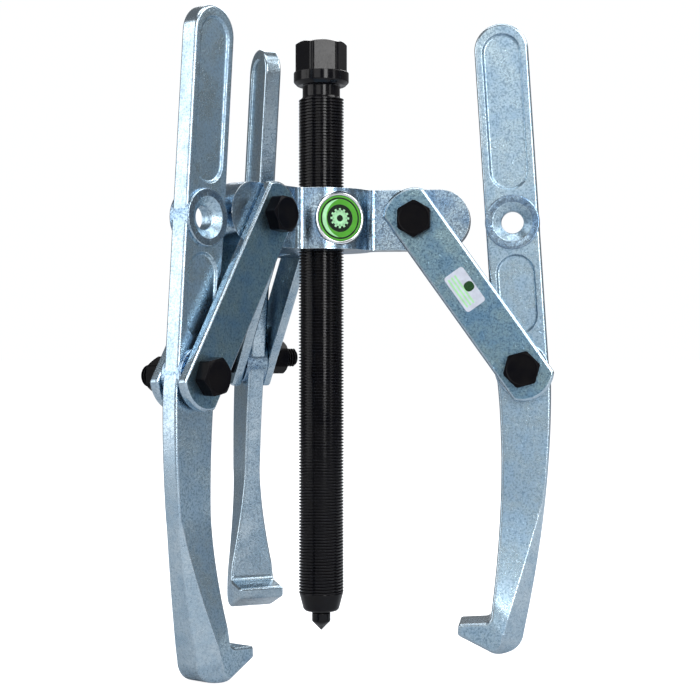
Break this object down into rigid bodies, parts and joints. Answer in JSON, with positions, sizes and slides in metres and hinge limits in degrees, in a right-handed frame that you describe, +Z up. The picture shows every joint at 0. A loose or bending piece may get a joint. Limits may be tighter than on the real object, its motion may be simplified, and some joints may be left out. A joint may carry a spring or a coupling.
{
  "type": "gear puller",
  "caption": "Jaw puller for gears and bearings, with hooked jaws hung by link plates from a forged traverse on a screw spindle.",
  "frame": {"origin": "apex of the pressure point, on the spindle's axis", "axes": "+Z up along the spindle towards its drive hexagon; the right arm points 7 degrees from +X towards -Y"},
  "size_m": [0.2326, 0.2501, 0.3705],
  "materials": {
    "zinc_plate": "bright zinc plate on forged steel",
    "black_oxide": "oiled black oxide",
    "bright_steel": "ground",
    "badge_green": "gloss enamel",
    "badge_rim": "bright",
    "label_white": "satin film"
  },
  "bodies": {
    "hub": {"traverse": "zinc_plate", "badge_rim": "badge_rim", "badge": "badge_green"},
    "tip": {"pressure_point": "black_oxide", "point_ring": "bright_steel"},
    "screw": {"spindle": "black_oxide", "thrust_ball": "bright_steel"},
    "right_links": {"link_right_head": "zinc_plate", "link_right_nut": "zinc_plate", "link_label": "label_white", "lug_bolt_right": "black_oxide", "jaw_bolt_right": "black_oxide", "lug_nut_right": "black_oxide", "jaw_nut_right": "black_oxide"},
    "right_jaw": {"jaw_right": "zinc_plate"},
    "front_links": {"link_front_head": "zinc_plate", "link_front_nut": "zinc_plate", "lug_bolt_front": "black_oxide", "jaw_bolt_front": "black_oxide", "lug_nut_front": "black_oxide", "jaw_nut_front": "black_oxide"},
    "front_jaw": {"jaw_front": "zinc_plate"},
    "rear_links": {"link_rear_head": "zinc_plate", "link_rear_nut": "zinc_plate", "lug_bolt_rear": "black_oxide", "jaw_bolt_rear": "black_oxide", "lug_nut_rear": "black_oxide", "jaw_nut_rear": "black_oxide"},
    "rear_jaw": {"jaw_rear": "zinc_plate"}
  },
  "joints": [
    {"name": "spindle_feed", "type": "slide", "parent": "hub", "child": "tip", "axis": [0, 0, 1], "range_m": [-0.055, 0.196]},
    {"name": "spindle_turn", "type": "hinge", "parent": "tip", "child": "screw", "pos_m": [0, 0, 0.1], "axis": [0, 0, 1], "range_deg": [-10717, 38699]},
    {"name": "right_links_swing", "type": "hinge", "parent": "hub", "child": "right_links", "pos_m": [0.05558, -0.00682, 0.24], "axis": [-0.1219, -0.9925, 0], "range_deg": [-6, 25]},
    {"name": "right_jaw_swing", "type": "hinge", "parent": "right_links", "child": "right_jaw", "pos_m": [0.11652, -0.01431, 0.15359], "axis": [0.1219, 0.9925, 0], "range_deg": [-5, 25]},
    {"name": "front_links_swing", "type": "hinge", "parent": "hub", "child": "front_links", "pos_m": [-0.0337, -0.04472, 0.24], "axis": [-0.7986, 0.6018, 0], "range_deg": [-6, 25]},
    {"name": "front_jaw_swing", "type": "hinge", "parent": "front_links", "child": "front_jaw", "pos_m": [-0.06788, -0.09009, 0.1505], "axis": [0.7986, -0.6018, 0], "range_deg": [-1, 25]},
    {"name": "rear_links_swing", "type": "hinge", "parent": "hub", "child": "rear_links", "pos_m": [-0.02188, 0.05155, 0.24], "axis": [0.9205, 0.3907, 0], "range_deg": [-6, 25]},
    {"name": "rear_jaw_swing", "type": "hinge", "parent": "rear_links", "child": "rear_jaw", "pos_m": [-0.04896, 0.11534, 0.15979], "axis": [-0.9205, -0.3907, 0], "range_deg": [-5, 25]}
  ],
  "couplings": [
    {"joint": "spindle_feed", "follows": "spindle_turn", "m_per_rad": 0.00028871}
  ]
}
